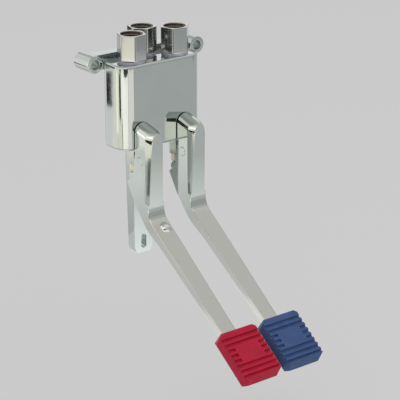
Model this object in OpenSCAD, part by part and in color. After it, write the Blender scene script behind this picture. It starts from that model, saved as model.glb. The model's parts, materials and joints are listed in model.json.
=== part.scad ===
// Wall-mounted double pedal mixing valve.
// A cast body with two screw ears and a slotted tongue hangs on the wall. Hot and cold water enter
// through the two front unions, pass a strainer and a poppet valve each, and leave mixed by the rear union.
// Each pedal lever turns on a cross pin and lifts its valve stem with the cam nose behind its head.
// Axes: X to the right, Y into the wall (wall face at Y = 0), Z up (Z = 0 on the top of the body).

/* [Body casting] */
// Width of the body
body_w = 91; // [88:1:96]
// Distance from the wall to the flat front
body_front = 46.5; // [45.5:0.5:50]
// Distance from the wall to the back of the box behind which the spine stands
body_back = 10; // [8:0.5:12]
// Height of the body
body_h = 79; // [78:0.5:81]
// Radius of the upright corners
corner_r = 13; // [11:0.5:14]
// Rounding of the top and bottom edges
edge_r = 2.5; // [1.5:0.5:3]
// Width of the spine that carries the outlet against the wall
spine_w = 34; // [32:1:38]

/* [Wall fixing] */
// Spacing of the two ear holes
ear_spacing = 114.4; // [112:0.2:120]
// Diameter of the ear bosses
ear_d = 16; // [14:0.5:17]
// Length of the ear bosses from the wall
ear_len = 22.5; // [20:0.5:25]
// Diameter of the ear screw holes
ear_hole_d = 8.4; // [6:0.2:9]
// Depth of the arms that carry the ears
arm_depth = 12; // [10:0.5:13]
// Height of the arms
arm_h = 14; // [12:0.5:15]
// Depth of the tongue from the wall
tongue_depth = 13.5; // [12:0.5:15]
// Width of the tongue at the body
tongue_w = 27; // [24:0.5:30]
// Width of the tongue at its lower end
tongue_tip_w = 21; // [19:0.5:23]
// Level of the lower end of the tongue
tongue_drop = 196; // [185:1:205]
// Width of the slot for the lower wall screw
slot_w = 5.5; // [4.5:0.5:6.5]
// Overall length of that slot
slot_len = 13.5; // [11:0.5:16]

/* [Unions] */
// Spacing of the two inlets
inlet_spacing = 48.2; // [47.8:0.2:49.6]
// Distance from the wall to the inlet axes
inlet_out = 31.8; // [31:0.2:32.4]
// Distance from the wall to the outlet axis
outlet_out = 14.5; // [14.4:0.1:15]
// Size of the hexagon across its flats
hex_af = 24; // [24:0.2:24.6]
// Level of the union rims
union_h = 25.8; // [23:0.1:28]
// Bore of the female thread
thread_bore_d = 18.6; // [18:0.1:19]
// Depth of the female thread
thread_depth = 15; // [13:0.5:16]
// Diameter of the mouth chamfer
mouth_d = 21.2; // [20.8:0.1:21.6]
// Diameter of the spigot that screws into the body
spigot_d = 20.8; // [20:0.1:21]
// Length of the spigot in the body
spigot_len = 13; // [11:0.5:15]
// Thickness of the washers under the hexagons
washer_t = 2; // [1.5:0.1:2.5]

/* [Valve cartridges] */
// Diameter of the valve stem
stem_d = 7.2; // [6.8:0.1:7.4]
// Distance from the underside of the body to the lower end of the stem at rest
stem_below = 25; // [24:0.5:27]
// Height of the valve seat lip above the underside of the body
seat_up = 28.5; // [28:0.5:30]
// Diameter of the poppet
poppet_d = 14.4; // [13:0.2:15]
// Gland nut across its flats
gland_af = 11; // [10.6:0.1:12]
// Distance from the underside of the body to the lower end of the gland nut
gland_below = 17; // [15:0.5:18]
// Wire diameter of the return spring
wire_d = 1.4; // [1.2:0.1:1.6]
// Turns of the return spring
spring_turns = 7; // [5:1:8]

/* [Pedal levers] */
// Width of the lever head
lever_w = 18.6; // [17.6:0.2:19.6]
// Clear width inside the lever head
head_gap = 12.4; // [12:0.2:13]
// Distance from the front of the body to the pivot axis
pivot_gap = 8.5; // [8:0.1:9]
// Distance from the underside of the body to the pivot axis
pivot_below = 8; // [7.5:0.1:8.5]
// Diameter of the pivot pin
pin_d = 8; // [7:0.2:8.4]
// Height of the head above the pivot axis
head_rise = 33.8; // [32:0.1:35]
// Level below the pivot axis at which the bevels of the head stop
bevel_drop = 39; // [36:0.5:41]
// Slope of the pedal bar below the horizontal
bar_slope = 35.8; // [34:0.2:37]
// Thickness of the pedal bar at its root
bar_t = 9.2; // [8.6:0.1:9.8]
// Thickness of the pedal bar at the pad
bar_tip_t = 6.8; // [6.2:0.1:7.4]
// Width of the pedal bar at the pad
bar_tip_w = 14.4; // [13:0.2:16]

/* [Pedal pads] */
// Width of a pad
pad_w = 43.4; // [41:0.2:45]
// Length of a pad along the bar
pad_len = 51.2; // [50.4:0.2:54]
// Distance along the bar from its root to the near edge of the pad
pad_start = 105.4; // [101:0.2:109]
// Thickness of the pad above the top of the bar
pad_top = 11.2; // [10.4:0.1:12]
// Number of tread grooves
groove_count = 8; // [7:1:8]
// Spacing of the tread grooves
groove_pitch = 5.4; // [5:0.1:5.5]
// Depth of the tread grooves
groove_depth = 2; // [1.5:0.1:2.5]

/* [Hidden] */
$fn = 64;
fit = 0.05;
slip = 0.5;
inlet_x = inlet_spacing / 2;
hex_d = hex_af / cos(30);
spigot_bore_d = spigot_d + 2 * fit;
port_depth = spigot_len + 1;
chamber_d = 19;
stem_low = body_h + stem_below;
seat_level = body_h - seat_up;
gland_low = body_h + gland_below;
seat_t = 4;
lip_h = 1.5;
seat_low = seat_level + lip_h + seat_t;
mix_d = 14;
mix_floor = 10.5;
mix_low = body_h - mix_floor;
gland_thread_d = 10;
packing_t = 2;
packing_top = mix_low + 2.5;
gland_washer_t = 1.5;
washer_seal_t = 2.5;
poppet_low = seat_level - washer_seal_t;
poppet_t = 4;
poppet_top = poppet_low - poppet_t;
strainer_t = port_depth - spigot_len;
gallery_d = 10;
gallery_up = 6.5;
gallery_z = mix_low - gallery_up;
outlet_bore_d = 16;
outlet_depth = gallery_z + 6;
pivot_out = body_front + pivot_gap;
pivot_drop = body_h + pivot_below;
rest_gap = 1;
lug_wall = 2.5;
lug_rise = 17;
lug_lap = 6;
head_back = body_front + rest_gap;
arch_r = lever_w / 2;
bevel_fore = 7.6;
bevel_start = pivot_out + bevel_fore;
bevel_in = 3.8;
roof_fall = 0.25;
nose_rise = 12;
slice_t = 0.4;
head_fore = 15;
head_front = pivot_out + head_fore;
head_tilt = 4;
bevel_low = pivot_drop + bevel_drop;
runout_turn = 28.8;
runout_lean = 16;
runout_h = 11;
bar_fore = 35.4;
bar_drop = 68.2;
root_r = 16;
root_steps = 4;
bar_y = pivot_out + bar_fore;
bar_z = pivot_drop + bar_drop;
cavity_fore = 8;
cavity_dip = 14;
cavity_rise = 21;
cavity_front = pivot_out + cavity_fore;
cavity_low = pivot_drop + cavity_dip;
cavity_top = pivot_drop - cavity_rise;
cam_r = 4;
cam_w = 8;
cam_back = 2.2;
cam_y = inlet_out + cam_back;
cam_z = stem_low + cam_r;
cam_flat = 0.4;
cam_root_y = 11;
cam_root_z = 17.6;
cam_under_y = 15;
cam_under_z = 31;
cam_lap_y = 9;
knee_y = 14.7;
knee_z = 67.1;
calf_y = 5.9;
calf_z = 59.8;
crook_y = 3.5;
crook_z = 48.7;
heel_low_y = 8.7;
heel_low_z = 43.3;
heel_tip_y = 20.7;
heel_tip_z = 24.3;
heel_top_y = 11.8;
heel_top_z = 16.9;
neck_y = 11.5;
neck_z = 13.2;
shin_y = 9.4;
shin_z = 1;
back_z = 7;
plate_w = 30;
plate_start = 5;
plate_len = 40;
plate_t = 3.5;
plate_top = 0.4;
bar_reach = pad_start + plate_start + 3;
pad_low = plate_top + plate_t + 1.9;
pad_corner = 5.4;
pad_nose = 3.4;
pad_under = 5.5;
panel_half = 13;
pad_draft = 1.6;
groove_start = 8.3;
groove_w = 2.8;
screw_x = 2.4;
screw_up = 15.5;
screw_d = 4;
screw_len = 6;
dome_r = 6.6;
dome_sink = 3.4;
pad_edge = 2;
pad_lip = 3.4;
pad_toe = 2.8;
pad_round = 1.2;
pad_back = 2.5;

// One half of a shape on the hot side or the cold side of the middle plane
module hot_side() {
  translate([-inlet_x, 0, 0]) children();
}

module cold_side() {
  translate([inlet_x, 0, 0]) children();
}

// A ring standing on z = 0
module ring(outer, inner, h) {
  difference() {
    cylinder(d = outer, h = h);
    translate([0, 0, -1]) cylinder(d = inner, h = h + 2);
  }
}

// Round-edged outline used on both pairs of sides of the body
module soft_rect(w, h, r) {
  translate([r, 0]) square([w - 2 * r, h]);
  translate([0, r]) square([w, h - 2 * r]);
  for (x = [r, w - r], y = [r, h - r]) translate([x, y]) circle(r = r);
}

// Box with upright corners of radius corner_r and softened top and bottom edges
module body_box() {
  depth = body_front - body_back;
  translate([0, -body_front, -body_h]) {
    translate([-body_w / 2 + corner_r, depth, 0]) rotate([90, 0, 90])
      linear_extrude(body_w - 2 * corner_r) translate([-depth, 0]) soft_rect(depth, body_h, edge_r);
    translate([-body_w / 2, depth - corner_r, 0]) rotate([90, 0, 0])
      linear_extrude(depth - 2 * corner_r) soft_rect(body_w, body_h, edge_r);
    for (x = [-1, 1], y = [corner_r, depth - corner_r])
      translate([x * (body_w / 2 - corner_r), y, 0]) rotate_extrude() intersection() {
        translate([-corner_r, 0]) soft_rect(2 * corner_r, body_h, edge_r);
        square([corner_r, body_h]);
      }
  }
}

// Tapered tongue with the rear edges set in
module tongue() {
  top = body_h - 4;
  shoulder = tongue_drop - 6;
  for (part = [[0, 3, tongue_depth], [2.4, 0, 4]])
    translate([0, -part[1], 0]) rotate([90, 0, 0]) linear_extrude(part[2] - part[1])
      polygon([[-tongue_w / 2 + part[0], -top], [-tongue_tip_w / 2 + part[0], -shoulder],
        [-tongue_tip_w / 2 + 2.5 + part[0], -tongue_drop], [tongue_tip_w / 2 - 2.5 - part[0], -tongue_drop],
        [tongue_tip_w / 2 - part[0], -shoulder], [tongue_w / 2 - part[0], -top]]);
}

// Lug seated on the front and underside of the body: it enters the lever head and carries the pivot pin
module pivot_lug() {
  lug_r = pin_d / 2 + lug_wall;
  lug_w = head_gap - 2 * slip;
  difference() {
    translate([-lug_w / 2, 0, 0]) rotate([90, 0, 90]) linear_extrude(lug_w) difference() {
      union() {
        translate([-pivot_out, -pivot_drop]) circle(r = lug_r);
        polygon([[-body_front + lug_lap, -pivot_drop + lug_rise], [-body_front, -pivot_drop + lug_rise],
          [-pivot_out - lug_r * cos(20), -pivot_drop + lug_r * sin(20)],
          [-pivot_out + lug_r * cos(60), -pivot_drop - lug_r * sin(60)], [-body_front + lug_lap, -body_h - 1],
          [-body_front + lug_lap, -body_h + 1]]);
      }
      translate([-body_front, -body_h]) soft_rect(body_front - body_back, body_h, edge_r);
    }
    translate([-lever_w, -pivot_out, -pivot_drop]) rotate([0, 90, 0])
      cylinder(d = pin_d + 2 * fit, h = 2 * lever_w);
  }
}

module hot_pivot_lug() color("gainsboro") hot_side() pivot_lug();

module cold_pivot_lug() color("gainsboro") cold_side() pivot_lug();

// Bores of one inlet from its port to its gland
module inlet_bores() {
  translate([0, -inlet_out, 0]) {
    translate([0, 0, -port_depth]) cylinder(d = spigot_bore_d, h = port_depth + 1);
    translate([0, 0, -seat_low]) cylinder(d = chamber_d, h = seat_low);
    translate([0, 0, -mix_low]) cylinder(d = mix_d, h = mix_low - 20);
    translate([0, 0, -packing_top - 1]) cylinder(d = stem_d + 0.6, h = 10);
    translate([0, 0, -body_h - 1]) cylinder(d = gland_thread_d + 2 * fit, h = body_h + 1 - packing_top);
  }
}

module valve_body() color("gainsboro") difference() {
  union() {
    body_box();
    translate([-spine_w / 2, -body_back - corner_r, -body_h]) cube([spine_w, body_back + corner_r, body_h]);
    tongue();
    for (s = [-1, 1]) {
      translate([s * ear_spacing / 2, 0, 0]) rotate([90, 0, 0]) cylinder(d = ear_d, h = ear_len);
      translate([s > 0 ? spine_w / 2 - 2 : -ear_spacing / 2, -arm_depth, -arm_h / 2 - 2])
        cube([ear_spacing / 2 - spine_w / 2 + 2, arm_depth, arm_h]);
    }
  }
  for (s = [-1, 1]) {
    translate([s * inlet_x, 0, 0]) inlet_bores();
    translate([s * ear_spacing / 2, 1, 0]) rotate([90, 0, 0]) cylinder(d = ear_hole_d, h = ear_len + 2);
  }
  translate([0, -outlet_out, -port_depth]) cylinder(d = spigot_bore_d, h = port_depth + 1);
  translate([0, -outlet_out, -outlet_depth]) cylinder(d = outlet_bore_d, h = outlet_depth);
  translate([-inlet_x, -inlet_out, -gallery_z]) rotate([0, 90, 0]) cylinder(d = gallery_d, h = inlet_spacing);
  translate([0, -outlet_out, -gallery_z]) rotate([90, 0, 0])
    cylinder(d = gallery_d, h = inlet_out - outlet_out);
  for (z = [tongue_drop - 5 - slot_len + slot_w / 2, tongue_drop - 5 - slot_w / 2])
    translate([0, 1, -z]) rotate([90, 0, 0]) cylinder(d = slot_w, h = tongue_depth + 2);
  translate([-slot_w / 2, -tongue_depth - 1, -tongue_drop + 5 + slot_w / 2])
    cube([slot_w, tongue_depth + 2, slot_len - slot_w]);
}

// Hexagon union with a male spigot below and a female thread above
module union_fitting(turn) {
  difference() {
    union() {
      intersection() {
        translate([0, 0, washer_t]) rotate([0, 0, turn]) cylinder(d = hex_d, h = union_h - washer_t, $fn = 6);
        rotate_extrude() polygon([[0, 0], [hex_d / 2 - 1, 0], [hex_d / 2 + 1, washer_t + 2],
          [hex_d / 2 + 1, union_h - 1.2], [hex_d / 2 - 0.9, union_h], [0, union_h]]);
      }
      translate([0, 0, -spigot_len]) cylinder(d = spigot_d, h = spigot_len + washer_t + 1);
    }
    translate([0, 0, -spigot_len - 1]) cylinder(d = 15, h = spigot_len + union_h);
    translate([0, 0, union_h - thread_depth]) cylinder(d = thread_bore_d, h = thread_depth + 1);
    translate([0, 0, union_h - 1.3]) cylinder(d1 = thread_bore_d, d2 = mouth_d, h = 1.3);
  }
}

module hot_union() color("silver") hot_side() translate([0, -inlet_out, 0]) union_fitting(9.5);

module cold_union() color("silver") cold_side() translate([0, -inlet_out, 0]) union_fitting(46.7);

module outlet_union() color("silver") translate([0, -outlet_out, 0]) union_fitting(15.3);

module union_washers() color("dimgray")
  for (p = [[-inlet_x, -inlet_out], [inlet_x, -inlet_out], [0, -outlet_out]])
    translate([p[0], p[1], 0]) ring(hex_af + 0.6, spigot_d + 2 * fit, washer_t);

// Perforated disc held between the spigot and the ledge of the port
module strainer() {
  translate([0, -inlet_out, -port_depth]) difference() {
    cylinder(d = spigot_d, h = strainer_t);
    for (ringno = [1, 2], k = [0 : 6 * ringno - 1])
      rotate([0, 0, k * 60 / ringno]) translate([ringno * 3.1, 0, -1]) cylinder(d = 1.9, h = strainer_t + 2);
    translate([0, 0, -1]) cylinder(d = 1.9, h = strainer_t + 2);
  }
}

module inlet_strainers() color("goldenrod") {
  hot_side() strainer();
  cold_side() strainer();
}

// Bush with a raised lip that the poppet closes on
module valve_seat() {
  translate([0, -inlet_out, -seat_low]) {
    ring(chamber_d - 2 * fit, stem_d + 3.4, seat_t);
    ring(stem_d + 5.6, stem_d + 3.4, seat_t + lip_h);
  }
}

module hot_valve_seat() color("peru") hot_side() valve_seat();

module cold_valve_seat() color("peru") cold_side() valve_seat();

// Stem with its poppet and the pilot for the spring
module valve_stem() {
  translate([0, -inlet_out, 0]) {
    translate([0, 0, -stem_low]) cylinder(d1 = stem_d - 0.8, d2 = stem_d, h = 0.8);
    translate([0, 0, -stem_low + 0.8]) cylinder(d = stem_d, h = stem_low - 0.8 - poppet_low);
    translate([0, 0, -poppet_low]) cylinder(d = poppet_d, h = poppet_t);
    translate([0, 0, -poppet_top]) cylinder(d = stem_d, h = 8);
  }
}

module hot_valve_stem() color("darkgoldenrod") hot_side() valve_stem();

module cold_valve_stem() color("darkgoldenrod") cold_side() valve_stem();

module seat_washer() {
  translate([0, -inlet_out, -seat_level]) ring(poppet_d, stem_d + 2 * fit, washer_seal_t);
}

module hot_seat_washer() color("black") hot_side() seat_washer();

module cold_seat_washer() color("black") cold_side() seat_washer();

// Coil of round wire between the poppet and the strainer
function coil_point(i, n, r, z0, z1) = let (a = 360 * spring_turns * i / n)
  [r * cos(a), r * sin(a), z0 + (z1 - z0) * i / n];

module return_spring() {
  sides = 6;
  steps = 8 * spring_turns;
  r = stem_d / 2 + 0.6 + wire_d / 2;
  low = -poppet_top + wire_d / 2 + fit;
  high = -port_depth - wire_d / 2 - fit;
  rings = [for (i = [0 : steps])
    let (p = coil_point(i, steps, r, low, high), a = 360 * spring_turns * i / steps)
    [for (k = [0 : sides - 1]) let (b = 360 * k / sides)
      p + wire_d / 2 * [cos(b) * cos(a), cos(b) * sin(a), sin(b)]]];
  skin = [for (i = [0 : steps - 1], k = [0 : sides - 1])
    let (a = i * sides + k, b = i * sides + (k + 1) % sides)
    each [[a, b, a + sides], [b, b + sides, a + sides]]];
  caps = [for (k = [1 : sides - 2]) each [[0, k + 1, k],
    [steps * sides, steps * sides + k, steps * sides + k + 1]]];
  translate([0, -inlet_out, 0])
    polyhedron(points = [for (q = rings) each q], faces = concat(skin, caps), convexity = 8);
}

module hot_return_spring() color("lightsteelblue") hot_side() return_spring();

module cold_return_spring() color("lightsteelblue") cold_side() return_spring();

module stem_packing() {
  translate([0, -inlet_out, -packing_top - packing_t]) ring(gland_thread_d, stem_d + 2 * fit, packing_t);
}

module stem_packings() color("black") {
  hot_side() stem_packing();
  cold_side() stem_packing();
}

module gland_washer() {
  translate([0, -inlet_out, -body_h - gland_washer_t])
    ring(gland_af + 1.4, gland_thread_d + 2 * fit, gland_washer_t);
}

module gland_washers() color("dimgray") {
  hot_side() gland_washer();
  cold_side() gland_washer();
}

// Nut that presses the packing and guides the stem
module gland_nut() {
  translate([0, -inlet_out, 0]) difference() {
    union() {
      translate([0, 0, -gland_low]) intersection() {
        cylinder(d = gland_af / cos(30), h = gland_low - body_h - gland_washer_t, $fn = 6);
        cylinder(d1 = gland_af, d2 = gland_af + 2 * gland_low, h = gland_low);
      }
      translate([0, 0, -body_h - gland_washer_t - 1])
        cylinder(d = gland_thread_d, h = body_h + gland_washer_t + 1 - packing_top - packing_t);
    }
    translate([0, 0, -gland_low - 1]) cylinder(d = stem_d + 2 * fit, h = gland_low);
  }
}

module hot_gland_nut() color("lightgray") hot_side() gland_nut();

module cold_gland_nut() color("lightgray") cold_side() gland_nut();

module pivot_pin() {
  translate([-lever_w / 2 - 0.5, -pivot_out, -pivot_drop]) rotate([0, 90, 0]) {
    cylinder(d1 = pin_d - 1, d2 = pin_d, h = 0.5);
    translate([0, 0, 0.5]) cylinder(d = pin_d, h = lever_w);
    translate([0, 0, lever_w + 0.5]) cylinder(d1 = pin_d, d2 = pin_d - 1, h = 0.5);
  }
}

module hot_pivot_pin() color("gray") hot_side() pivot_pin();

module cold_pivot_pin() color("gray") cold_side() pivot_pin();

// Local frame on top of the pedal bar: -Y runs down the bar and Z stands off its top
module on_bar() {
  translate([0, -bar_y, -bar_z]) rotate([bar_slope, 0, 0]) children();
}

// Flat plate at the end of the bar that the pad is pulled over
module foot_plate() {
  on_bar() translate([-plate_w / 2, -pad_start - plate_start - plate_len, -plate_top - plate_t])
    cube([plate_w, plate_len, plate_t]);
}

// Plan view of the bar, which narrows from the lever width at its root to the pad
module bar_plan() {
  lap = 20;
  taper = (arch_r - bar_tip_w / 2) / bar_reach;
  near = arch_r + lap * taper;
  far = bar_tip_w / 2 - lap * taper;
  on_bar() translate([0, 0, -2 * bar_t]) linear_extrude(3 * bar_t)
    polygon([[-near, lap], [-far, -bar_reach - lap], [far, -bar_reach - lap], [near, lap]]);
}

// Side view of the lever head, its heel and the bar that thins towards the pad, measured from the pivot axis
module lever_side() {
  front_low = head_front - head_tilt;
  step_y = pivot_out - bar_y;
  step_z = pivot_drop - bar_z;
  root = [pivot_out - front_low, step_z + (bar_y - front_low) * tan(bar_slope)];
  lean = atan2(head_tilt, head_rise + 1 - root[1]);
  turn = 90 + lean - bar_slope;
  root_mid = root + root_r * tan(turn / 2) * [-sin(lean), cos(lean)] - root_r * [cos(lean), sin(lean)];
  tip_y = step_y - bar_reach * cos(bar_slope);
  tip_z = step_z - bar_reach * sin(bar_slope);
  translate([-arch_r, -pivot_out, -pivot_drop]) rotate([90, 0, 90]) linear_extrude(lever_w)
    polygon([[pivot_out - head_back, head_rise + 1], [pivot_out - head_front, head_rise + 1],
      for (k = [0 : root_steps]) let (a = lean - turn * k / root_steps) root_mid + root_r * [cos(a), sin(a)],
      [tip_y, tip_z], [tip_y + bar_tip_t * sin(bar_slope), tip_z - bar_tip_t * cos(bar_slope)],
      [step_y + bar_t * sin(bar_slope), step_z - bar_t * cos(bar_slope)], [-knee_y, -knee_z],
      [-calf_y, -calf_z], [crook_y, -crook_z], [heel_low_y, -heel_low_z], [heel_tip_y, -heel_tip_z],
      [heel_top_y, -heel_top_z], [neck_y, -neck_z], [shin_y, -shin_z], [pivot_out - head_back, back_z]]);
}

// Section of the head: a rounded arch of the given half width, its roof lower towards the front
module head_slice(depth, half, rise) {
  crown = head_rise - pivot_drop - roof_fall * (depth - head_back);
  spring = crown - rise;
  translate([0, -depth, 0]) rotate([90, 0, 0]) linear_extrude(slice_t)
    polygon([[half, -bevel_low - 0.5], for (k = [0 : 24]) [half * cos(7.5 * k), spring + rise * sin(7.5 * k)],
      [-half, -bevel_low - 0.5]]);
}

// Front of the head: the arch, its front edges bevelled down to bevel_low
module head_front_form() {
  hull() {
    head_slice(0, arch_r, arch_r);
    head_slice(bevel_start, arch_r, arch_r);
    head_slice(head_front, arch_r - bevel_in, nose_rise);
  }
  difference() {
    translate([-lever_w, -bar_y + 6, -bevel_low - 60]) cube([2 * lever_w, bar_y - 6, 60]);
    intersection() {
      translate([-lever_w, -head_front - 1, -bevel_low - runout_h])
        cube([2 * lever_w, head_front, runout_h + 1]);
      for (s = [0, 1]) mirror([s, 0, 0]) translate([arch_r, -bevel_start - 2.4, -bevel_low])
        rotate([0, -runout_lean, -runout_turn]) translate([0, -30, -40]) cube([30, 60, 60]);
    }
  }
}

// Nose behind the heel that lifts the stem
module cam_nose() {
  translate([-cam_w / 2, 0, 0]) rotate([90, 0, 90]) linear_extrude(cam_w) {
    translate([-cam_y, -cam_z]) circle(r = cam_r);
    polygon([[-pivot_out + cam_root_y, -pivot_drop - cam_root_z], [-cam_y, -cam_z + cam_r - cam_flat],
      [-cam_y, -cam_z - cam_r], [-pivot_out + cam_under_y, -pivot_drop - cam_under_z],
      [-pivot_out + cam_lap_y, -pivot_drop - cam_under_z]]);
  }
}

module lever() {
  difference() {
    union() {
      intersection() {
        lever_side();
        union() {
          head_front_form();
          bar_plan();
        }
      }
      foot_plate();
      cam_nose();
    }
    translate([-head_gap / 2, -cavity_front, -cavity_low])
      cube([head_gap, cavity_front - inlet_out + 8, cavity_low - cavity_top]);
    translate([-lever_w, -pivot_out, -pivot_drop]) rotate([0, 90, 0]) cylinder(d = pin_d, h = 2 * lever_w);
  }
}

// Place of the domed screw beside the root of the bar
module at_screw() {
  on_bar() translate([screw_x, screw_up, 0]) children();
}

module hot_lever() color("whitesmoke") hot_side() difference() {
  lever();
  at_screw() translate([0, 0, -screw_len]) cylinder(d = screw_d, h = screw_len + 1);
}

module cold_lever() color("whitesmoke") cold_side() lever();

// One tread groove of the given length with sloping flanks
module groove(from, to) {
  translate([from, 0, pad_top]) rotate([90, 0, 90]) linear_extrude(to - from)
    polygon([[groove_w / 2 + 0.3, 1], [groove_w / 2 - 0.5, -groove_depth],
      [-groove_w / 2 + 0.5, -groove_depth], [-groove_w / 2 - 0.3, 1]]);
}

// Rubber tread pad: a block with cut corners, a sloping nose, grooves and a flat middle panel
module pad() {
  half = pad_w / 2;
  difference() {
    on_bar() translate([0, -pad_start, 0]) difference() {
      intersection() {
        translate([0, 0, -pad_low]) linear_extrude(pad_low + pad_top)
          polygon([[-half + pad_corner, 0], [-half, -pad_corner], [-half, -pad_len + pad_corner],
            [-half + pad_corner, -pad_len], [half - pad_corner, -pad_len], [half, -pad_len + pad_corner],
            [half, -pad_corner], [half - pad_corner, 0]]);
        translate([0, 1, 0]) rotate([90, 0, 0]) linear_extrude(pad_len + 2)
          polygon([[-half + pad_under, -pad_low], [-half, pad_edge], [-half, pad_lip],
            [-half + pad_draft, pad_top], [half - pad_draft, pad_top], [half, pad_lip], [half, pad_edge],
            [half - pad_under, -pad_low]]);
        translate([-half - 1, 0, 0]) rotate([90, 0, 90]) linear_extrude(pad_w + 2)
          polygon([[0, -pad_low], [0, pad_top - pad_back], [-pad_round, pad_top],
            [-pad_len + pad_nose, pad_top], [-pad_len, pad_toe], [-pad_len, pad_edge],
            [-pad_len + pad_under, -pad_low]]);
      }
      for (k = [0 : groove_count - 1]) translate([0, -groove_start - k * groove_pitch, 0]) {
        if (k < 2 || k > groove_count - 4) {
          groove(-pad_w, pad_w);
        } else {
          groove(-pad_w, -panel_half);
          groove(panel_half, pad_w);
        }
      }
    }
    foot_plate();
    intersection() {
      lever_side();
      bar_plan();
    }
  }
}

module hot_pad() color("crimson") hot_side() pad();

module cold_pad() color("darkslateblue") cold_side() pad();

// Domed screw on the hot lever
module hot_lever_screw() color("white") hot_side() at_screw() {
  translate([0, 0, -screw_len]) cylinder(d = screw_d, h = screw_len + 0.5);
  rotate_extrude() intersection() {
    translate([0, -dome_sink]) circle(r = dome_r);
    square([dome_r, dome_r]);
  }
}

valve_body();
hot_pivot_lug();
cold_pivot_lug();
hot_union();
cold_union();
outlet_union();
union_washers();
inlet_strainers();
hot_valve_seat();
cold_valve_seat();
hot_valve_stem();
cold_valve_stem();
hot_seat_washer();
cold_seat_washer();
hot_return_spring();
cold_return_spring();
stem_packings();
gland_washers();
hot_gland_nut();
cold_gland_nut();
hot_pivot_pin();
cold_pivot_pin();
hot_lever();
cold_lever();
hot_pad();
cold_pad();
hot_lever_screw();
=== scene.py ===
"""Looks of a double pedal mixing valve: finishes, soft edges, pipe threads and a plain studio."""
import json
import math

import bpy
from mathutils import Euler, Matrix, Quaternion, Vector

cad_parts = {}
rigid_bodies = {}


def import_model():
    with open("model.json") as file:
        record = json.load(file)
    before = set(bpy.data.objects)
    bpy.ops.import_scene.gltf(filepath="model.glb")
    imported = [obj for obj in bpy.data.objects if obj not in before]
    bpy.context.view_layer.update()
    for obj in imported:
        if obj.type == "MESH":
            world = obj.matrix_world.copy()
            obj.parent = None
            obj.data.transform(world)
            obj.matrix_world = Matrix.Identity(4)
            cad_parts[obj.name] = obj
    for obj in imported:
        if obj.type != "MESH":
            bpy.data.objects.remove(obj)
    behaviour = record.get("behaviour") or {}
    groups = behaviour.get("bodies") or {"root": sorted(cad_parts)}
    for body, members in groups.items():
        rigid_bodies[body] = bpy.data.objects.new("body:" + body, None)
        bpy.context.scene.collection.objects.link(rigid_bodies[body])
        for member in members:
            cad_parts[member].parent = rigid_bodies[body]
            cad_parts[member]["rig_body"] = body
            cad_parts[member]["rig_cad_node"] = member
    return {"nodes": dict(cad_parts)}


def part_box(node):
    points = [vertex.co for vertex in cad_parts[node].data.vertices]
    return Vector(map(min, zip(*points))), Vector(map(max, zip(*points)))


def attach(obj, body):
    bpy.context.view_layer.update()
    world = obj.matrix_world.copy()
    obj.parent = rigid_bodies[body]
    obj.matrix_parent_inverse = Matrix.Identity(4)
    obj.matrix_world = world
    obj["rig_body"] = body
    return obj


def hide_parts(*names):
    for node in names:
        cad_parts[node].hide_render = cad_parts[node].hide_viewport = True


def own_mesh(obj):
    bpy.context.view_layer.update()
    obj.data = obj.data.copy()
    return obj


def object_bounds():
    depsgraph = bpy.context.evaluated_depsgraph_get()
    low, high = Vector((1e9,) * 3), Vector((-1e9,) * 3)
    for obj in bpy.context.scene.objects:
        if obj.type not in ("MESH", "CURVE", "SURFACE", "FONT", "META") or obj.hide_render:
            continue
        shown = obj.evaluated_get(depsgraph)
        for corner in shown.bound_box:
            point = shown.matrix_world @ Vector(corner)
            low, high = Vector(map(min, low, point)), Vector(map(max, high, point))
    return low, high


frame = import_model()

bl_info = {
    "name": "Double pedal mixing valve",
    "version": (1, 0, 0),
    "blender": (4, 5, 0),
    "location": "View3D > Sidebar > Pedal valve",
    "description": "Dresses the solids of a wall-hung pedal mixing valve and sets its studio",
    "category": "Object",
}

NODES = frame["nodes"]
CAD_BOX = [list(corner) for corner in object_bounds()]
SIDES = ("hot", "cold")

# In a copy of a solid, corners closer than MERGE are one corner, and faces that meet at less
# than FLAT are one face.
MERGE = 2e-6
FLAT = math.radians(0.3)

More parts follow.
